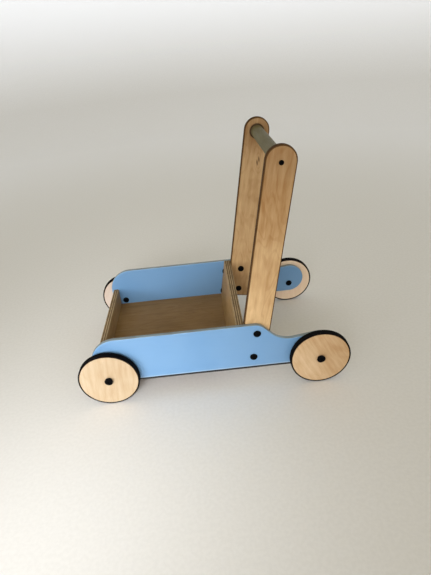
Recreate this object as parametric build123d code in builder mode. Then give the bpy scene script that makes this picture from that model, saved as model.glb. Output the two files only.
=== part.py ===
"""Wooden baby walker: a plywood tray on four bolted wheels, with a push handle on two leaning uprights.

Millimetres, +Z up. The origin is on the floor under the middle of the wheelbase. The tray leads
towards -X, the child walks behind the rear board towards +X, and left is -Y for that child.
"""
import os
from math import asin, atan2, cos, degrees, hypot, radians, sin, tan

from build123d import *

os.makedirs("parts", exist_ok=True)

# ---- driving dimensions ------------------------------------------------------------------------

LEFT = -1
RIGHT = 1
SIDES = {"left": LEFT, "right": RIGHT}

# wheels
wheelbase = 420.0
wheel_diameter = 120.0
wheel_thickness = 12.0
tyre_thickness = 2.5
wheel_clearance = 5.5  # side panel to wheel

# tray box
inside_width = 280.0
panel_thickness = 9.0
board_thickness = 12.0
rear_board_thickness = 15.0
panel_bottom = 38.0
panel_top = 142.0
panel_front = -240.0
front_board_top = 93.0
front_board_setback = 5.0
edge_ease = 1.0  # rounding of the discs' and tray boards' edges
panel_ease = 2.0  # rounding all round the side panels
upright_ease = 3.0  # rounding all round the uprights, which are handled more

# side panel outline
front_top_radius = 52.0
front_bottom_radius = 6.0
tail_radius = 36.0
shoulder_start = 83.0  # where the top edge begins to drop to the tail
shoulder_radius = 26.0
shoulder_slope = 46.0  # degrees
waist_radius = 50.0
waist_low_x = 153.0
waist_low_z = 103.0

# uprights and handle
upright_width = 54.0
upright_thickness = 12.0
upright_lean = 9.1  # degrees, backwards
top_x = 140.0  # centre of the uprights' round tops
top_z = 447.0
handle_drop = 1.5  # handle axis below that centre, along the upright
handle_diameter = 26.0
handle_end_chamfer = 2.0
top_to_bolt = 329.0  # along the upright
bolt_spacing = 56.0
bolt_to_end = 21.0
board_screw_drop = 12.0  # each rear board screw sits this far below an upright bolt

# fasteners
fit = 0.05  # radial play of a fixed shank in its hole
bolt_diameter = 6.0
barrel_diameter = 8.0
nut_head_diameter = 15.0
nut_head_height = 2.6
wheel_head_diameter = 16.5
wheel_head_height = 3.4
panel_head_diameter = 15.0
panel_head_height = 2.6
socket_across_flats = 4.0
socket_depth = 1.8
handle_screw_diameter = 5.0
handle_screw_head = 8.5
insert_diameter = 8.0
insert_length = 15.0
board_screw_diameter = 5.0
board_screw_head = 11.0
board_screw_reach = 28.0  # thread inside the upright
wood_screw_diameter = 4.0
wood_screw_head = 8.0
wood_screw_reach = 24.0  # thread inside the standing board
dowel_diameter = 6.0
dowel_in_panel = 6.0
dowel_in_board = 18.0

# wheel bearing
sleeve_diameter = 10.0
running_clearance = 0.08  # radial, bush on sleeve
side_play = 0.5
bush_diameter = 14.0
bush_flange_diameter = 20.0
bush_flange_thickness = 0.8
spacer_diameter = 18.0
washer_diameter = 14.5
washer_thickness = 2.6  # holds the bolt head clear of the turning wheel

# ---- worked out from the driving dimensions ----------------------------------------------------

wheel_radius = wheel_diameter / 2
disc_radius = wheel_radius - tyre_thickness
axle_height = wheel_radius
inner_face = inside_width / 2
outer_face = inner_face + panel_thickness
upright_face = inner_face - upright_thickness
board_top = panel_bottom + board_thickness
front_board_front = panel_front + front_board_setback
front_board_middle = front_board_front + board_thickness / 2
lean_sin = sin(radians(upright_lean))
lean_cos = cos(radians(upright_lean))
lean_tan = tan(radians(upright_lean))
AXLES = {
    f"{end}_{side_name}": (x, side)
    for end, x in (("front", -wheelbase / 2), ("rear", wheelbase / 2))
    for side_name, side in SIDES.items()
}
UPRIGHT_BOLTS = (-top_to_bolt, -top_to_bolt - bolt_spacing)


def on_upright(across, along):
    """(x, z) of a point on the upright: across its width, and along it from the round top's centre."""
    x = top_x + across * lean_cos + along * lean_sin
    z = top_z - across * lean_sin + along * lean_cos
    return x, z


def upright_front(z):
    """x of the uprights' front edge at height z."""
    return top_x + (z - top_z) * lean_tan - upright_width / 2 / lean_cos


def upright_plane(y):
    """Plane across the walker at y, with its local y axis along the upright and facing -Y."""
    return Plane(origin=(top_x, y, top_z), x_dir=(lean_cos, 0, -lean_sin), z_dir=(0, -1, 0))


def side_plane(y):
    """Upright lengthwise plane at y: its local axes are X and Z, and it faces -Y."""
    return Plane.XZ.offset(-y)


def outward_plane(x, y, z, side):
    """Plane whose normal points out of the walker on the given side, for a piece on an axle."""
    return Plane(origin=(x, y, z), x_dir=(1, 0, 0), z_dir=(0, side, 0))


def save(builder, name):
    """Label the finished piece and write it under its own name."""
    builder.part.label = name
    export_step(builder.part, f"parts/{name}.step")


def place(piece, name, *planes):
    """Copy a piece drawn about the origin to each plane, as one node."""
    with BuildPart() as placed:
        with Locations(*planes):
            add(piece.part)
    save(placed, name)


# ---- plywood parts -----------------------------------------------------------------------------


def tail_tangent_angle():
    """Slope in degrees of the line from the waist curve up to the round end of the tail."""
    run = wheelbase / 2 - waist_low_x
    fall = waist_low_z + waist_radius - (panel_bottom + tail_radius)
    return degrees(asin((waist_radius + tail_radius) / hypot(run, fall)) - atan2(fall, run))


def panel_corners():
    """Sharp corners of the side panel before rounding, with the radius that each one gets."""
    rise = radians(tail_tangent_angle())
    drop = radians(shoulder_slope)
    shoulder_x = shoulder_start + shoulder_radius * tan(drop / 2)
    tail_x = wheelbase / 2 - tail_radius * sin(rise)
    tail_z = panel_bottom + tail_radius + tail_radius * cos(rise)
    reach = (panel_top - tail_z + tan(rise) * tail_x + tan(drop) * shoulder_x) / (tan(drop) + tan(rise))
    waist = (reach, panel_top - tan(drop) * (reach - shoulder_x))
    rounded = (
        ((panel_front, panel_bottom), front_bottom_radius),
        ((panel_front, panel_top), front_top_radius),
        ((shoulder_x, panel_top), shoulder_radius),
        (waist, waist_radius),
    )
    return rounded, (tail_x, tail_z)


def side_panel(side):
    """Side of the tray: round front, straight bottom, and a low tail that carries the rear axle."""
    rounded, tail_top = panel_corners()
    tail_middle = (wheelbase / 2, panel_bottom + tail_radius)
    tail_bottom = (wheelbase / 2, panel_bottom)
    far_face = max(side * inner_face, side * outer_face)
    with BuildPart() as panel:
        with BuildSketch(side_plane(far_face)) as outline:
            with BuildLine():
                Polyline(*[corner for corner, radius in rounded], tail_top, tail_middle, tail_bottom, close=True)
            make_face()
            for corner, radius in rounded:
                sharp = outline.vertices().sort_by_distance(corner)[0]
                fillet(sharp, radius=radius)
            with Locations(tail_middle):
                Circle(tail_radius)
        extrude(amount=panel_thickness)
        fillet(panel.faces().filter_by(Axis.Y).edges(), radius=panel_ease)
        with BuildSketch(side_plane(far_face)):
            for along in UPRIGHT_BOLTS:
                with Locations(on_upright(0, along)):
                    Circle(bolt_diameter / 2 + fit)
            with Locations((-wheelbase / 2, axle_height), (wheelbase / 2, axle_height)):
                Circle(barrel_diameter / 2 + fit)
        extrude(amount=panel_thickness, mode=Mode.SUBTRACT)
        with BuildSketch(side_plane(side * inner_face)):
            with Locations(*FRONT_DOWELS, *BOTTOM_DOWELS):
                Circle(dowel_diameter / 2 + fit)
        extrude(amount=-side * dowel_in_panel, mode=Mode.SUBTRACT)
    return panel


FRONT_DOWELS = tuple((front_board_middle, z) for z in (63.0, 82.0))
BOTTOM_DOWELS = tuple((x, panel_bottom + board_thickness / 2) for x in (-170.0, -90.0, -10.0))
for side_name, side in SIDES.items():
    save(side_panel(side), f"side_panel_{side_name}")

# The bottom board closes the box from below; the front and rear boards stand on it.
REAR_SCREW_X = upright_front(board_top) - rear_board_thickness / 2 / lean_cos + 0.5
BOTTOM_SCREWS = tuple((x, y) for x in (front_board_middle, REAR_SCREW_X) for y in (-90.0, 0.0, 90.0))
underside = Plane(origin=(0, 0, panel_bottom), x_dir=(1, 0, 0), z_dir=(0, 0, -1))
with BuildPart() as bottom_board:
    with BuildSketch(side_plane(inner_face)):
        with Locations((front_board_front, panel_bottom)):
            Rectangle(upright_front(board_top) - front_board_front, board_thickness, align=(Align.MIN, Align.MIN))
    extrude(amount=inside_width)
    fillet(bottom_board.edges().filter_by(Axis.Y).group_by(Axis.Z)[0], radius=edge_ease)
    for side in SIDES.values():
        with BuildSketch(side_plane(side * inner_face)):
            with Locations(*BOTTOM_DOWELS):
                Circle(dowel_diameter / 2 + fit)
        extrude(amount=side * dowel_in_board, mode=Mode.SUBTRACT)
    with Locations(underside):
        with Locations(*[(x, -y) for x, y in BOTTOM_SCREWS]):
            CounterSinkHole(wood_screw_diameter / 2 + fit, wood_screw_head / 2 + fit)
save(bottom_board, "bottom_board")

with BuildPart() as front_board:
    with BuildSketch(side_plane(inner_face)):
        with Locations((front_board_front, board_top)):
            Rectangle(board_thickness, front_board_top - board_top, align=(Align.MIN, Align.MIN))
    extrude(amount=inside_width)
    fillet(front_board.edges().filter_by(Axis.Y).group_by(Axis.Z)[-1], radius=2 * edge_ease)
    for side in SIDES.values():
        with BuildSketch(side_plane(side * inner_face)):
            with Locations(*FRONT_DOWELS):
                Circle(dowel_diameter / 2 + fit)
        extrude(amount=side * dowel_in_board, mode=Mode.SUBTRACT)
    with BuildSketch(Plane.XY.offset(board_top)):
        with Locations(*[(x, y) for x, y in BOTTOM_SCREWS if x < 0]):
            Circle(wood_screw_diameter / 2 + fit)
    extrude(amount=wood_screw_reach + 1, mode=Mode.SUBTRACT)
save(front_board, "front_board")


def screw_lines():
    """Planes of the four rear board screws, on the board's front face with the normal out of it."""
    across = -upright_width / 2 - rear_board_thickness
    for side in SIDES.values():
        for along in UPRIGHT_BOLTS:
            x, z = on_upright(across, along - board_screw_drop)
            y = side * (inner_face - upright_thickness / 2)
            yield Plane(origin=(x, y, z), x_dir=(0, 1, 0), z_dir=(-lean_cos, 0, lean_sin))


# The rear board leans with the uprights and is screwed to their front edges.
with BuildPart() as rear_board:
    depth = rear_board_thickness / lean_cos
    with BuildSketch(side_plane(inner_face)):
        with BuildLine():
            Polyline(
                (upright_front(board_top) - depth, board_top),
                (upright_front(board_top), board_top),
                (upright_front(panel_top), panel_top),
                (upright_front(panel_top) - depth, panel_top),
                close=True,
            )
        make_face()
    extrude(amount=inside_width)
    fillet(rear_board.edges().filter_by(Axis.Y).group_by(Axis.Z)[-1], radius=2 * edge_ease)
    with Locations(*screw_lines()):
        Hole(board_screw_diameter / 2 + fit, depth=rear_board_thickness + 1)
    with BuildSketch(Plane.XY.offset(board_top)):
        with Locations(*[(x, y) for x, y in BOTTOM_SCREWS if x > 0]):
            Circle(wood_screw_diameter / 2 + fit)
    extrude(amount=wood_screw_reach + 1, mode=Mode.SUBTRACT)
save(rear_board, "rear_board")


def upright(side):
    """Leaning post with a round top, bolted inside the side panel."""
    far_face = max(side * upright_face, side * inner_face)
    length = top_to_bolt + bolt_spacing + bolt_to_end
    with BuildPart() as post:
        with BuildSketch(upright_plane(far_face)):
            Circle(upright_width / 2)
            Rectangle(upright_width, length, align=(Align.CENTER, Align.MAX))
        extrude(amount=upright_thickness)
        fillet(post.faces().filter_by(Axis.Y).edges(), radius=upright_ease)
        with BuildSketch(upright_plane(far_face)):
            with Locations((0, -handle_drop)):
                Circle(handle_screw_diameter / 2 + fit)
            with Locations(*[(0, along) for along in UPRIGHT_BOLTS]):
                Circle(barrel_diameter / 2 + fit)
        extrude(amount=upright_thickness, mode=Mode.SUBTRACT)
        with Locations(*screw_lines()):
            Hole(board_screw_diameter / 2 + fit, depth=rear_board_thickness + board_screw_reach + 1)
    return post


for side_name, side in SIDES.items():
    save(upright(side), f"upright_{side_name}")

# ---- handle --------------------------------------------------------------------------------------

handle_x, handle_z = on_upright(0, -handle_drop)

with BuildPart() as handle_bar:
    with BuildSketch(Plane(origin=(handle_x, upright_face, handle_z), z_dir=(0, -1, 0))):
        Circle(handle_diameter / 2)
    extrude(amount=2 * upright_face)
    bar_ends = handle_bar.faces().filter_by(Axis.Y)
    chamfer(bar_ends.edges(), length=handle_end_chamfer)
    for side in SIDES.values():
        with BuildSketch(Plane(origin=(handle_x, side * upright_face, handle_z), z_dir=(0, -side, 0))):
            Circle(insert_diameter / 2)
        extrude(amount=insert_length, mode=Mode.SUBTRACT)
save(handle_bar, "handle_bar")

with BuildPart() as insert:
    with BuildSketch():
        Circle(insert_diameter / 2)
        Circle(handle_screw_diameter / 2 + fit, mode=Mode.SUBTRACT)
    extrude(amount=-insert_length)
place(
    insert,
    "handle_inserts",
    *[outward_plane(handle_x, side * upright_face, handle_z, side) for side in SIDES.values()],
)

# ---- fasteners, each drawn with its head on +Z and its shank down -Z --------------------------


def domed_fastener(head_diameter, head_height, shank_diameter, shank_length, tip_length=0.8, tip_share=0.8):
    """Turned bolt or screw: domed head, hex socket, and a tip narrowed to tip_share of the shank."""
    head_radius = head_diameter / 2
    shank_radius = shank_diameter / 2
    rim = head_height * 0.3
    with BuildPart() as fastener:
        with BuildSketch(Plane.XZ):
            with BuildLine():
                Polyline(
                    (0, head_height),
                    (0, -shank_length),
                    (shank_radius * tip_share, -shank_length),
                    (shank_radius, tip_length - shank_length),
                    (shank_radius, 0),
                    (head_radius, 0),
                    (head_radius, rim),
                )
                TangentArc((0, head_height), (head_radius, rim), tangent=(1, 0))
            make_face()
        revolve(axis=Axis.Z)
        with BuildSketch(Plane.XY.offset(head_height)):
            RegularPolygon(socket_across_flats / 2, 6, major_radius=False)
        extrude(amount=-min(socket_depth, head_height * 0.8), mode=Mode.SUBTRACT)
    return fastener


def sleeve_nut(barrel_length):
    """Domed nut with a barrel that takes the bolt from the other side."""
    solid_nut = domed_fastener(nut_head_diameter, nut_head_height, barrel_diameter, barrel_length)
    with BuildPart() as nut:
        add(solid_nut.part)
        with BuildSketch(Plane.XY.offset(-barrel_length)):
            Circle(bolt_diameter / 2 + fit)
        extrude(amount=barrel_length - 1, mode=Mode.SUBTRACT)
    return nut


def ring(outer_radius, inner_radius, height):
    """Plain turned ring standing on z = 0."""
    with BuildPart() as turned:
        with BuildSketch():
            Circle(outer_radius)
            Circle(inner_radius, mode=Mode.SUBTRACT)
        extrude(amount=height)
    return turned


def upright_bolt_planes(y, facing):
    """Planes at the upright bolts' centres, at distance y from the middle, facing out or in."""
    for side in SIDES.values():
        for along in UPRIGHT_BOLTS:
            x, z = on_upright(0, along)
            yield outward_plane(x, side * y, z, side * facing)


OUT = 1
IN = -1

handle_screw = domed_fastener(handle_screw_head, nut_head_height, handle_screw_diameter, upright_thickness + 12)
place(
    handle_screw,
    "handle_screws",
    *[outward_plane(handle_x, side * inner_face, handle_z, side) for side in SIDES.values()],
)

upright_barrel = upright_thickness - 1
upright_bolt = domed_fastener(panel_head_diameter, panel_head_height, bolt_diameter, panel_thickness + 8)
place(upright_bolt, "upright_bolts", *upright_bolt_planes(outer_face, OUT))
place(sleeve_nut(upright_barrel), "upright_nuts", *upright_bolt_planes(upright_face, IN))

board_screw = domed_fastener(
    board_screw_head,
    nut_head_height,
    board_screw_diameter,
    rear_board_thickness + board_screw_reach,
    tip_length=6,
    tip_share=0.2,
)
place(board_screw, "rear_board_screws", *screw_lines())

with BuildPart() as bottom_screw:
    head_radius = wood_screw_head / 2
    screw_radius = wood_screw_diameter / 2
    head_depth = (head_radius - screw_radius) / tan(radians(41))
    screw_length = board_thickness + wood_screw_reach
    with BuildSketch(Plane.XZ):
        with BuildLine():
            Polyline(
                (0, 0),
                (0, -screw_length),
                (screw_radius * 0.2, -screw_length),
                (screw_radius, 5 - screw_length),
                (screw_radius, -head_depth),
                (head_radius, 0),
                close=True,
            )
        make_face()
    revolve(axis=Axis.Z)
    with BuildSketch():
        RegularPolygon(socket_across_flats / 2 - 0.5, 6, major_radius=False)
    extrude(amount=-socket_depth, mode=Mode.SUBTRACT)
place(
    bottom_screw,
    "bottom_screws",
    *[Plane(origin=(x, y, panel_bottom), x_dir=(1, 0, 0), z_dir=(0, 0, -1)) for x, y in BOTTOM_SCREWS],
)

with BuildPart() as dowel:
    with BuildSketch():
        Circle(dowel_diameter / 2)
    extrude(amount=dowel_in_panel)
    extrude(dowel.faces().sort_by(Axis.Z)[0], amount=dowel_in_board)
    chamfer(dowel.edges().filter_by(GeomType.CIRCLE).group_by(Axis.Z)[0], length=0.5)
    chamfer(dowel.edges().filter_by(GeomType.CIRCLE).group_by(Axis.Z)[-1], length=0.5)
for name, points in (("front_dowels", FRONT_DOWELS), ("bottom_dowels", BOTTOM_DOWELS)):
    planes = [outward_plane(x, side * inner_face, z, side) for side in SIDES.values() for x, z in points]
    place(dowel, name, *planes)

# ---- wheels, each drawn about its own axle with +Z out of the walker ---------------------------

wheel_inside = outer_face + wheel_clearance
wheel_outside = wheel_inside + wheel_thickness
washer_seat = wheel_outside + side_play
head_seat = washer_seat + washer_thickness
spacer_height = wheel_clearance - bush_flange_thickness - side_play
bush_bore = sleeve_diameter / 2 + running_clearance

with BuildPart() as disc:
    with BuildSketch():
        Circle(disc_radius)
    extrude(amount=wheel_thickness)
    fillet(disc.edges(), radius=edge_ease)
    with BuildSketch():
        Circle(bush_diameter / 2)
    extrude(amount=wheel_thickness, mode=Mode.SUBTRACT)

with BuildPart() as tyre:
    add(ring(wheel_radius, disc_radius, wheel_thickness).part)
    tread_edges = tyre.edges().filter_by(GeomType.CIRCLE).group_by(SortBy.RADIUS)[-1]
    fillet(tread_edges, radius=edge_ease)

with BuildPart() as bush:
    add(ring(bush_diameter / 2, bush_bore, wheel_thickness).part)
    with BuildSketch():
        Circle(bush_flange_diameter / 2)
        Circle(bush_bore, mode=Mode.SUBTRACT)
    extrude(amount=-bush_flange_thickness)

axle_bolt = domed_fastener(wheel_head_diameter, wheel_head_height, bolt_diameter, head_seat - inner_face - 2)
axle_nut = sleeve_nut(panel_thickness - 1)
axle_sleeve = ring(sleeve_diameter / 2, bolt_diameter / 2 + fit, head_seat - outer_face)
axle_spacer = ring(spacer_diameter / 2, sleeve_diameter / 2 + fit, spacer_height)
axle_washer = ring(washer_diameter / 2, sleeve_diameter / 2 + fit, washer_thickness)

for axle, (x, side) in AXLES.items():
    place(disc, f"wheel_disc_{axle}", outward_plane(x, side * wheel_inside, axle_height, side))
    place(tyre, f"tyre_{axle}", outward_plane(x, side * wheel_inside, axle_height, side))
    place(bush, f"bush_{axle}", outward_plane(x, side * wheel_inside, axle_height, side))
    place(axle_sleeve, f"axle_sleeve_{axle}", outward_plane(x, side * outer_face, axle_height, side))
    place(axle_spacer, f"axle_spacer_{axle}", outward_plane(x, side * outer_face, axle_height, side))
    place(axle_washer, f"axle_washer_{axle}", outward_plane(x, side * washer_seat, axle_height, side))
    place(axle_bolt, f"axle_bolt_{axle}", outward_plane(x, side * head_seat, axle_height, side))
    place(axle_nut, f"axle_nut_{axle}", outward_plane(x, side * inner_face, axle_height, -side))
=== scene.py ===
"""Looks of the wooden baby walker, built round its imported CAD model. Metres, in the CAD frame."""
import math

import bmesh
import bpy
from mathutils import Matrix, Vector


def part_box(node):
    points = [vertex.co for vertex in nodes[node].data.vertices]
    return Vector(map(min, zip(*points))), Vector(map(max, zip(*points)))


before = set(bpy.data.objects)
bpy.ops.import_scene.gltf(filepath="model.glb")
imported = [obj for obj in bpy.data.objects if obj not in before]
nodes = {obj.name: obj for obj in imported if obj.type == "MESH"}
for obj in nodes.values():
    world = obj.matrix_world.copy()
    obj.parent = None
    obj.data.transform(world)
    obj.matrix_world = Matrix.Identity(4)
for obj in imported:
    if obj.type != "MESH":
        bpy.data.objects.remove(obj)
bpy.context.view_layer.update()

MM = 0.001
AXLES = ("front_left", "front_right", "rear_left", "rear_right")
SIDES = ("left", "right")
LEAN = math.radians(9.1)  # the uprights and the rear board lean back by this much

X_AXIS = Vector((1, 0, 0))
Y_AXIS = Vector((0, 1, 0))
Z_AXIS = Vector((0, 0, 1))
UP_THE_POST = Vector((math.sin(LEAN), 0, math.cos(LEAN)))
ACROSS_THE_POST = Vector((math.cos(LEAN), 0, -math.sin(LEAN)))
HANDLE_UP, HANDLE_ACROSS = 0.4620, 0.0675  # the handle's axis, along and across an upright


def linear(red, green, blue):
    """Scene-linear colour of an sRGB colour given as 0 to 255."""
    values = []
    for value in (red, green, blue):
        value /= 255
        values.append(value / 12.92 if value <= 0.04045 else ((value + 0.055) / 1.055) ** 2.4)
    return (*values, 1.0)


NOISE_LOW, NOISE_HIGH = 0.3, 0.7  # nearly all of a noise texture's values lie between these


class Graph:
    """A material's node tree, with a short method for each kind of node that the looks need."""

    def __init__(self, name):
        self.material = bpy.data.materials.new(name)
        self.material.use_nodes = True
        self.tree = self.material.node_tree
        self.shader = self.tree.nodes["Principled BSDF"]
        self.coordinates = self.tree.nodes.new("ShaderNodeTexCoord")
        self.position = self.coordinates.outputs["Object"]
        self.normal = self.coordinates.outputs["Normal"]

    def set(self, socket, value):
        """Link a node's output to the socket, or give the socket a plain value."""
        if isinstance(value, bpy.types.NodeSocket):
            self.tree.links.new(value, socket)
        else:
            socket.default_value = value

    def finish(self, **inputs):
        """Fill the shader's inputs, named with underscores for spaces, and return the material."""
        for name, value in inputs.items():
            self.set(self.shader.inputs[name.replace("_", " ")], value)
        return self.material

    def math(self, operation, *values, clamp=False):
        made = self.tree.nodes.new("ShaderNodeMath")
        made.operation = operation
        made.use_clamp = clamp
        for socket, value in zip(made.inputs, values):
            self.set(socket, value)
        return made.outputs[0]

    def length(self, x, y):
        squares = self.math("ADD", self.math("MULTIPLY", x, x), self.math("MULTIPLY", y, y))
        return self.math("SQRT", squares)

    def dot(self, vector, direction):
        made = self.tree.nodes.new("ShaderNodeVectorMath")
        made.operation = "DOT_PRODUCT"
        self.set(made.inputs[0], vector)
        self.set(made.inputs[1], direction)
        return made.outputs["Value"]

    def combine(self, x, y, z):
        made = self.tree.nodes.new("ShaderNodeCombineXYZ")
        for socket, value in zip(made.inputs, (x, y, z)):
            self.set(socket, value)
        return made.outputs[0]

    def noise(self, vector, scale=1.0, detail=2.0, roughness=0.5, distortion=0.0):
        made = self.tree.nodes.new("ShaderNodeTexNoise")
        self.set(made.inputs["Vector"], vector)
        self.set(made.inputs["Scale"], scale)
        self.set(made.inputs["Detail"], detail)
        self.set(made.inputs["Roughness"], roughness)
        self.set(made.inputs["Distortion"], distortion)
        return made.outputs["Fac"]

    def stretched(self, u, v, along, across, seed, **options):
        """Noise with its own scales, in cells per metre, along and across the grain."""
        place = self.combine(self.math("MULTIPLY", u, along), self.math("MULTIPLY", v, across), seed)
        return self.noise(place, **options)

    def between(self, value, low=NOISE_LOW, high=NOISE_HIGH, to_low=0.0, to_high=1.0):
        """value from low to high, mapped smoothly from to_low to to_high."""
        made = self.tree.nodes.new("ShaderNodeMapRange")
        made.interpolation_type = "SMOOTHSTEP"
        for socket, entry in zip(made.inputs, (value, low, high, to_low, to_high)):
            self.set(socket, entry)
        return made.outputs[0]

    def mix(self, factor, first, second, blend="MIX"):
        made = self.tree.nodes.new("ShaderNodeMix")
        made.data_type = "RGBA"
        made.blend_type = blend
        self.set(made.inputs[0], factor)
        self.set(made.inputs[6], first)
        self.set(made.inputs[7], second)
        return made.outputs[2]

    def mix_value(self, factor, first, second):
        made = self.tree.nodes.new("ShaderNodeMix")
        self.set(made.inputs[0], factor)
        self.set(made.inputs[2], first)
        self.set(made.inputs[3], second)
        return made.outputs[0]

    def bump(self, height, distance):
        made = self.tree.nodes.new("ShaderNodeBump")
        self.set(made.inputs["Height"], height)
        self.set(made.inputs["Distance"], distance)
        return made.outputs["Normal"]


def paint(node, material):
    """Give a CAD node one material."""
    slots = nodes[node].data.materials
    slots.clear()
    slots.append(material)


FACE_ON = (0.96, 0.999)  # a normal's share along the thickness, from the edge's rounding to the face
SAWN_ROUGHNESS = 0.95
KNOT_LENGTH, KNOT_WIDTH, KNOT_SLANT = 6 * MM, 1.6 * MM, 0.7
TOP_SHADE_FROM, TOP_SHADE_TO = 0.40, 0.47  # metres up an upright, where the painted shade at the top starts and is full


def birch(
    node, directions, tones, edges, seed, plies=9, figure=1.0, drift=Vector(), knots=(), top_shade=0.0
):
    """Lacquered birch plywood: flame figure, fibres and flecks on its faces, ply lines on its edges.

    directions are the board's grain, width and thickness directions. tones are the veneer's pale and
    deep colours, and edges those of the plies whose grain runs along and across the sawn edge. figure
    is the strength of the growth rings. drift is painted shade: the direction in which the colour
    deepens as the light falls off, with the change per metre as its length. A knot is its place along
    and across the grain. The last argument is how far the wood is painted darker towards the top of
    an upright, as shade where the light falls off with height.
    """
    g = Graph(f"birch_{node}")
    along, across, through = directions
    pale, deep = tones
    long_ply, cross_ply = edges
    u = g.dot(g.position, along)
    v = g.dot(g.position, across)
    w = g.dot(g.position, through)
    depths = [vertex.co.dot(through) for vertex in nodes[node].data.vertices]
    near, far = min(depths), max(depths)

    # Rotary-cut veneer: growth rings show as long closed contours of a slow field.
    field = g.stretched(u, v, 6.0, 19.0, seed, detail=2.5, roughness=0.5, distortion=0.4)
    knot_core = None
    for knot_u, knot_v in knots:
        du = g.math("DIVIDE", g.math("SUBTRACT", u, knot_u), KNOT_LENGTH)
        dv = g.math("DIVIDE", g.math("SUBTRACT", v, knot_v), KNOT_WIDTH)
        dv = g.math("ADD", dv, g.math("MULTIPLY", du, KNOT_SLANT))
        from_knot = g.length(du, dv)
        field = g.math("ADD", field, g.math("MULTIPLY", g.between(from_knot, 9.0, 0.0), 0.12))
        core = g.between(from_knot, 1.5, 0.4)
        knot_core = core if knot_core is None else g.math("MAXIMUM", knot_core, core)
    rings = g.between(g.math("SINE", g.math("MULTIPLY", field, 70.0)), 0.2, 1.0)
    streak = g.stretched(u, v, 14.0, 130.0, seed + 3.0, detail=3.0, roughness=0.55)
    fibre = g.stretched(u, v, 45.0, 900.0, seed, detail=3.0, roughness=0.6)
    flecks = g.between(g.stretched(u, v, 260.0, 1900.0, seed, detail=1.0), 0.68, 0.8)
    cloud = g.stretched(u, v, 7.0, 11.0, seed + 7.0, detail=2.0)
    curl = g.stretched(u, v, 38.0, 12.0, seed + 9.0, detail=1.0)

    low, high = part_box(node)
    # Painted shade: the veneer deepens steadily in one direction, as the light falls off across the
    # part.
    tone = g.math("SUBTRACT", g.dot(g.position, drift), (low + high).dot(drift) / 2)
    tone = g.math("ADD", tone, g.math("MULTIPLY", g.between(cloud), 0.36))
    tone = g.math("ADD", tone, g.math("MULTIPLY", rings, 0.14 * figure))
    tone = g.math("ADD", tone, g.math("MULTIPLY", g.between(streak), 0.30))
    tone = g.math("ADD", tone, g.math("MULTIPLY", g.between(fibre, 0.3, 0.75), 0.14))
    tone = g.math("ADD", tone, g.math("MULTIPLY", g.between(curl), 0.08), clamp=True)
    face = g.mix(tone, pale, deep)
    face = g.mix(g.math("MULTIPLY", flecks, 0.3), face, cross_ply)
    if knot_core is not None:
        face = g.mix(g.math("MULTIPLY", knot_core, 0.85), face, KNOT)
    if top_shade:
        # Painted shade: the wood darkens towards the top of the upright, where the light falls off
        # with height.
        face = g.mix(g.between(u, TOP_SHADE_FROM, TOP_SHADE_TO, 0.0, top_shade), face, TOP_SHADE_COLOUR)
        # Painted shade: a dark ring on the inner face round the handle's end, the contact shade where
        # the bar meets the upright.
        du = g.math("SUBTRACT", u, HANDLE_UP)
        dv = g.math("SUBTRACT", v, HANDLE_ACROSS)
        from_handle = g.length(du, dv)
        middle = abs(near + far) / 2
        inner = g.between(g.math("ABSOLUTE", w), middle + MM, middle - MM)
        handle_end_shade = g.math("MULTIPLY", g.between(from_handle, 17.0 * MM, 14.8 * MM, 0.0, 0.9), inner)
        face = g.mix(handle_end_shade, face, HANDLE_END_SHADE)

    # Sawn edge: plies with their grain turned about, and dark glue lines between them.
    depth = g.math("DIVIDE", g.math("SUBTRACT", w, near), (far - near) / plies)
    parity = g.math("GREATER_THAN", g.math("MODULO", depth, 2.0), 1.0)
    within = g.math("ABSOLUTE", g.math("SUBTRACT", g.math("FRACT", depth), 0.5))
    glue = g.between(within, 0.38, 0.5)
    end_grain = g.noise(g.position, scale=1400.0, detail=3.0)
    along_edge = g.noise(g.position, scale=60.0, detail=3.0)
    layers = g.mix(parity, long_ply, cross_ply)
    layers = g.mix(g.math("MULTIPLY", g.between(end_grain, 0.35, 0.75), 0.5), layers, cross_ply)
    layers = g.mix(g.math("MULTIPLY", g.between(along_edge, 0.35, 0.7), 0.3), layers, GLUE)
    layers = g.mix(g.math("MULTIPLY", glue, 0.75), layers, GLUE)
    facing = g.math("ABSOLUTE", g.dot(g.normal, through))
    colour = g.mix(g.between(facing, *FACE_ON), layers, face)

    relief = g.math("SUBTRACT", g.math("MULTIPLY", fibre, 0.6), flecks)
    relief = g.math("ADD", relief, g.math("MULTIPLY", streak, 0.5))
    lacquered = g.between(fibre, 0.3, 0.8, 0.44, 0.58)
    return g.finish(
        Base_Color=colour,
        Roughness=g.mix_value(g.between(facing, *FACE_ON), SAWN_ROUGHNESS, lacquered),
        Normal=g.bump(relief, 0.05 * MM),
        Specular_IOR_Level=0.3,
    )


GLUE = linear(36, 21, 10)
KNOT = linear(74, 44, 20)
# Painted shade for the tops of the uprights.
TOP_SHADE_COLOUR = linear(110, 72, 34)
# Painted contact shade round the handle's end.
HANDLE_END_SHADE = linear(52, 32, 14)
# Two plies' colours, grain along and across the edge. The routed edges are dark partly from the
# cutter's burn and partly as painted shade, on edges that turn away from the light.
ROUTED_EDGE = (linear(102, 71, 37), linear(68, 46, 22))
SAWN_EDGE = (linear(182, 162, 128), linear(108, 85, 58))
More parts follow.
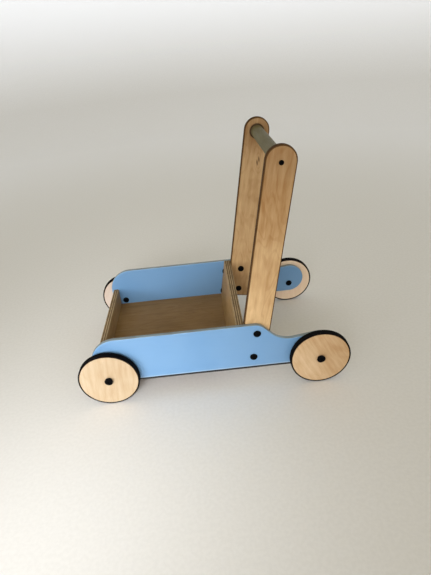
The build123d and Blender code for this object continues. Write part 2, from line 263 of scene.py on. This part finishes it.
# Pale and deep tones of each veneer.
UPRIGHT_TONES = {
    "left": (linear(214, 182, 137), linear(162, 120, 72)),
    "right": (linear(200, 168, 124), linear(151, 111, 66)),
}
BOARD_TONES = {
    # The bottom board's tones are darker than the other boards': painted shade on the floor of the
    # tray, in the hollow between the panels.
    "bottom_board": (linear(154, 123, 79), linear(121, 91, 50)),
    "front_board": (linear(166, 136, 94), linear(131, 101, 61)),
    "rear_board": (linear(185, 150, 100), linear(142, 108, 62)),
}
WHEEL_TONES_AND_LIGHT = {  # each disc's colour is partly its own sheet's, partly painted light and shade: far discs paler, near rear deeper
    "front_left": (linear(196, 180, 155), linear(170, 143, 109)),
    "front_right": (linear(208, 193, 182), linear(187, 167, 149)),
    "rear_left": (linear(213, 186, 150), linear(175, 135, 89)),
    "rear_right": (linear(248, 226, 202), linear(232, 203, 172)),
}

# Painted shade on each upright: how dark its top is made, and how fast its veneer deepens up the post
# per metre.
TOP_SHADE_AMOUNT = {"left": 0.25, "right": 0.1}
DRIFT = {"left": 1.7, "right": 0.8}
KNOTS = {"left": (), "right": ((0.4035, 0.0790), (0.3960, 0.0760))}
for seed, side in enumerate(SIDES):
    node = f"upright_{side}"
    material = birch(
        node, (UP_THE_POST, ACROSS_THE_POST, Y_AXIS), UPRIGHT_TONES[side], ROUTED_EDGE, 11.0 + seed,
        drift=DRIFT[side] * UP_THE_POST, knots=KNOTS[side], top_shade=TOP_SHADE_AMOUNT[side],
    )
    paint(node, material)

BOARDS = (  # grain, width and thickness directions, and number of plies
    ("bottom_board", X_AXIS, Y_AXIS, Z_AXIS, 9),
    ("front_board", Y_AXIS, Z_AXIS, X_AXIS, 5),
    ("rear_board", Y_AXIS, UP_THE_POST, ACROSS_THE_POST, 7),
)
for seed, (node, *directions, plies) in enumerate(BOARDS):
    paint(node, birch(node, directions, BOARD_TONES[node], SAWN_EDGE, 31.0 + 10 * seed, plies))

# Grain of each disc, in degrees from +X.
WHEEL_GRAIN = {"front_left": 86, "front_right": 70, "rear_left": 118, "rear_right": 95}
for seed, axle in enumerate(AXLES):
    turn = math.radians(WHEEL_GRAIN[axle])
    along = Vector((math.cos(turn), 0, math.sin(turn)))
    across = Vector((-math.sin(turn), 0, math.cos(turn)))
    node = f"wheel_disc_{axle}"
    # Painted shade: each disc deepens towards the rear, as the light falls off.
    material = birch(
        node, (along, across, Y_AXIS), WHEEL_TONES_AND_LIGHT[axle], ROUTED_EDGE, 61.0 + 5 * seed,
        figure=0.6, drift=2.0 * X_AXIS,
    )
    paint(node, material)


def blue_paint(node, seed):
    """Satin blue paint on birch plywood, thin enough for the plies to show through on the edges,
    whose colour is greyed and darkened as painted shade.
    """
    g = Graph(f"blue_{node}")
    x = g.dot(g.position, X_AXIS)
    y = g.dot(g.position, Y_AXIS)
    z = g.dot(g.position, Z_AXIS)
    fibre = g.stretched(x, z, 18.0, 620.0, seed, detail=3.0)
    peel = g.noise(g.position, scale=900.0, detail=2.0)
    cloud = g.noise(g.position, scale=9.0, detail=2.0)
    colour = g.mix(g.between(cloud), linear(103, 146, 189), linear(110, 151, 192))
    colour = g.mix(g.math("MULTIPLY", g.between(fibre, 0.5, 0.8), 0.12), colour, linear(94, 135, 176))
    low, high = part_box(node)
    depth = g.math("DIVIDE", g.math("SUBTRACT", y, low.y), (high.y - low.y) / 7)
    parity = g.math("GREATER_THAN", g.math("MODULO", depth, 2.0), 1.0)
    grime = g.between(g.noise(g.position, scale=45.0, detail=3.0), 0.35, 0.7)
    # Painted shade: the edges are greyer and darker than the faces, as edges facing up catch less
    # light; plies and grime show too.
    shaded_edge_colour = g.mix(g.math("MULTIPLY", parity, 0.6), linear(128, 146, 156), linear(98, 116, 126))
    shaded_edge_colour = g.mix(g.math("MULTIPLY", grime, 0.4), shaded_edge_colour, linear(96, 92, 82))
    facing = g.math("ABSOLUTE", g.dot(g.normal, Y_AXIS))
    colour = g.mix(g.between(facing, 0.5, 0.85), shaded_edge_colour, colour)

    # On the outer lower edge: a pale band of painted highlight, then a black band of painted shade
    # where the rounded edge turns down from the light.
    outer = max(abs(low.y), abs(high.y))
    outside = g.between(g.math("ABSOLUTE", y), outer - 5.0 * MM, outer - 3.0 * MM)
    painted_highlight_band = g.math("MULTIPLY", g.between(z, low.z + 8.4 * MM, low.z + 7.2 * MM), outside)
    colour = g.mix(g.math("MULTIPLY", painted_highlight_band, 0.45), colour, linear(176, 196, 208))
    # Painted shade: the near-black band along the bottom of the outer face.
    painted_shade_band = g.math("MULTIPLY", g.between(z, low.z + 6.0 * MM, low.z + 5.0 * MM), outside)
    colour = g.mix(painted_shade_band, colour, linear(8, 10, 13))

    relief = g.math("ADD", g.math("MULTIPLY", fibre, 0.35), g.math("MULTIPLY", peel, 0.4))
    return g.finish(
        Base_Color=colour,
        Roughness=g.between(peel, NOISE_LOW, NOISE_HIGH, 0.36, 0.44),
        Normal=g.bump(relief, 0.05 * MM),
        Coat_Weight=0.15,
        Coat_Roughness=0.25,
    )


for seed, side in enumerate(SIDES):
    paint(f"side_panel_{side}", blue_paint(f"side_panel_{side}", 5.0 + seed))


def speckled(name, colours, scale, roughnesses, relief, **inputs):
    """A fine-grained material whose colour and roughness vary between two limits.

    scale is the grain's, in cells per metre, and relief its depth in millimetres.
    """
    g = Graph(name)
    fine = g.noise(g.position, scale=scale, detail=4.0, roughness=0.6)
    broad = g.noise(g.position, scale=scale / 14, detail=2.0)
    tone = g.math("ADD", g.math("MULTIPLY", fine, 0.6), g.math("MULTIPLY", broad, 0.4))
    return g.finish(
        Base_Color=g.mix(g.between(tone), *colours),
        Roughness=g.between(tone, NOISE_LOW, NOISE_HIGH, *roughnesses),
        Normal=g.bump(fine, relief * MM),
        **inputs,
    )


rubber = speckled(
    "tyre_rubber", (linear(6, 6, 8), linear(16, 16, 18)), 1500, (0.85, 0.92), 0.04,
    Specular_IOR_Level=0.05,
)
black_oxide = speckled(
    "black_oxide", (linear(2, 2, 3), linear(6, 6, 7)), 2200, (0.65, 0.8), 0.02,
    Specular_IOR_Level=0.06,
)
black_nylon = speckled(
    "black_nylon", (linear(10, 10, 11), linear(18, 18, 19)), 900, (0.5, 0.6), 0.02,
    Specular_IOR_Level=0.3,
)
zinc = speckled(
    "zinc_plating", (linear(150, 152, 156), linear(196, 198, 203)), 1800, (0.25, 0.4), 0.02,
    Metallic=1.0,
)
brass = speckled(
    "insert_brass", (linear(176, 142, 72), linear(205, 172, 98)), 1800, (0.28, 0.42), 0.02,
    Metallic=1.0,
)
steel = speckled(
    "turned_steel", (linear(132, 134, 138), linear(176, 178, 182)), 2600, (0.2, 0.34), 0.01,
    Metallic=1.0,
)
beech = speckled(
    "dowel_beech", (linear(196, 152, 106), linear(218, 178, 132)), 900, (0.5, 0.62), 0.04
)


def grey_paint(node):
    """Satin grey paint on a round bar, with the long fibres of the wood just showing."""
    g = Graph(f"grey_{node}")
    x = g.dot(g.position, X_AXIS)
    y = g.dot(g.position, Y_AXIS)
    z = g.dot(g.position, Z_AXIS)
    cells = ((x, 700.0), (y, 26.0), (z, 700.0))  # per metre: short across the bar, long along it
    scaled = [g.math("MULTIPLY", value, scale) for value, scale in cells]
    fibre = g.noise(g.combine(*scaled), detail=3.0)
    cloud = g.noise(g.position, scale=24.0, detail=3.0)
    tone = g.math("ADD", g.math("MULTIPLY", fibre, 0.4), g.math("MULTIPLY", cloud, 0.6))
    return g.finish(
        Base_Color=g.mix(g.between(tone, 0.35, 0.65), linear(96, 90, 60), linear(107, 100, 68)),
        Roughness=g.between(fibre, NOISE_LOW, NOISE_HIGH, 0.48, 0.6),
        Normal=g.bump(fibre, 0.04 * MM),
        Specular_IOR_Level=0.15,
    )


paint("handle_bar", grey_paint("handle_bar"))
for axle in AXLES:
    paint(f"tyre_{axle}", rubber)
    paint(f"bush_{axle}", black_nylon)
    paint(f"axle_sleeve_{axle}", steel)
    paint(f"axle_spacer_{axle}", black_nylon)
    paint(f"axle_washer_{axle}", black_nylon)
    paint(f"axle_bolt_{axle}", black_oxide)
    paint(f"axle_nut_{axle}", black_oxide)
for node in ("handle_screws", "upright_bolts", "upright_nuts", "rear_board_screws"):
    paint(node, black_oxide)
paint("handle_inserts", brass)
paint("bottom_screws", zinc)
for node in ("front_dowels", "bottom_dowels"):
    paint(node, beech)


# ---- studio ------------------------------------------------------------------------------------


def sweep(floor_radius, bend_radius, height, turns=96, bends=16):
    """Round studio floor whose rim curves up into a plain wall."""
    profile = [(0.02, 0.0), (floor_radius * 0.5, 0.0), (floor_radius, 0.0)]
    for step in range(1, bends + 1):
        angle = math.pi / 2 * step / bends
        out = floor_radius + bend_radius * math.sin(angle)
        profile.append((out, bend_radius * (1 - math.cos(angle))))
    profile.append((floor_radius + bend_radius, height))
    mesh = bmesh.new()
    rings = []
    for radius, z in profile:
        angles = [2 * math.pi * turn / turns for turn in range(turns)]
        points = [(radius * math.cos(angle), radius * math.sin(angle), z) for angle in angles]
        rings.append([mesh.verts.new(point) for point in points])
    mesh.faces.new(rings[0])
    for inner, outer in zip(rings, rings[1:]):
        for turn in range(turns):
            after = (turn + 1) % turns
            mesh.faces.new((inner[turn], outer[turn], outer[after], inner[after]))
    bmesh.ops.recalc_face_normals(mesh, faces=mesh.faces)
    data = bpy.data.meshes.new("studio_sweep")
    mesh.to_mesh(data)
    mesh.free()
    data.shade_smooth()
    made = bpy.data.objects.new("studio_sweep", data)
    bpy.context.scene.collection.objects.link(made)
    return made


FLOOR_RADIUS = 2.4
floor = sweep(FLOOR_RADIUS, bend_radius=0.8, height=2.6)
g = Graph("studio_paper")
grain = g.noise(g.position, scale=160.0, detail=3.0)
height = g.dot(g.position, Z_AXIS)
sideways = g.dot(g.position, Y_AXIS)
radius = g.math("SQRT", g.dot(g.position, g.position))
# The outer floor glows faintly, more so on the sides that the lamps don't reach.
unlit = g.between(sideways, 1.2, -0.6, 0.06, 0.2)
glow = g.math("MULTIPLY", g.between(radius, 0.9, FLOOR_RADIUS), unlit)
floor.data.materials.append(
    g.finish(
        Base_Color=g.mix(g.between(grain), linear(222, 222, 223), linear(226, 226, 227)),
        Roughness=0.85,
        Emission_Color=(0.88, 0.92, 1.0, 1),
        Emission_Strength=g.math("MAXIMUM", g.between(height, 0.0, 1.2, 0.0, 0.6), glow),
    )
)


def area_light(name, place, aim, size, watts, colour, spread):
    """A soft rectangular lamp aimed at a point, with its beam's spread in degrees."""
    light = bpy.data.lights.new(name, "AREA")
    light.shape = "RECTANGLE"
    light.size, light.size_y = size
    light.energy = watts
    light.color = colour
    light.spread = math.radians(spread)
    made = bpy.data.objects.new(name, light)
    made.location = place
    made.rotation_mode = "QUATERNION"
    made.rotation_quaternion = (Vector(aim) - Vector(place)).to_track_quat("-Z", "Y")
    made.visible_camera = False
    bpy.context.scene.collection.objects.link(made)


WHITE = (1.0, 1.0, 1.0)
area_light(
    "window_low", place=(-0.85, -1.15, 0.22), aim=(-0.22, -0.15, 0.0),
    size=(0.5, 0.3), watts=0.72, colour=WHITE, spread=50,
)
area_light(
    "window_high", place=(-0.35, -1.25, 0.55), aim=(-0.25, -0.15, -0.02),
    size=(0.5, 0.3), watts=0.92, colour=WHITE, spread=48,
)
area_light(
    "fill", place=(0.1, -1.7, 1.2), aim=(0.0, 0.0, 0.15),
    size=(1.2, 1.0), watts=1.5, colour=(1.0, 0.80, 0.60), spread=120,
)

world = bpy.data.worlds.new("studio_world")
world.use_nodes = True
world.node_tree.nodes["Background"].inputs["Color"].default_value = (1.0, 0.88, 0.53, 1)
world.node_tree.nodes["Background"].inputs["Strength"].default_value = 0.42
bpy.context.scene.world = world
bpy.context.scene.view_settings.view_transform = "Standard"

# ---- camera ------------------------------------------------------------------------------------

PITCH_DOWN = 29.84
YAW_RIGHT = 1.015
ROLL = -5.453
camera = bpy.data.cameras.new("camera")
camera.sensor_width = 36
camera.lens = 27.76
view = bpy.data.objects.new("camera", camera)
turned = (
    Matrix.Rotation(math.radians(-YAW_RIGHT), 4, "Z")
    @ Matrix.Rotation(math.radians(90 - PITCH_DOWN), 4, "X")
    @ Matrix.Rotation(math.radians(ROLL), 4, "Z")
)
view.matrix_world = Matrix.Translation((0.0036, -0.8451, 0.6341)) @ turned
bpy.context.scene.collection.objects.link(view)
bpy.context.scene.camera = view
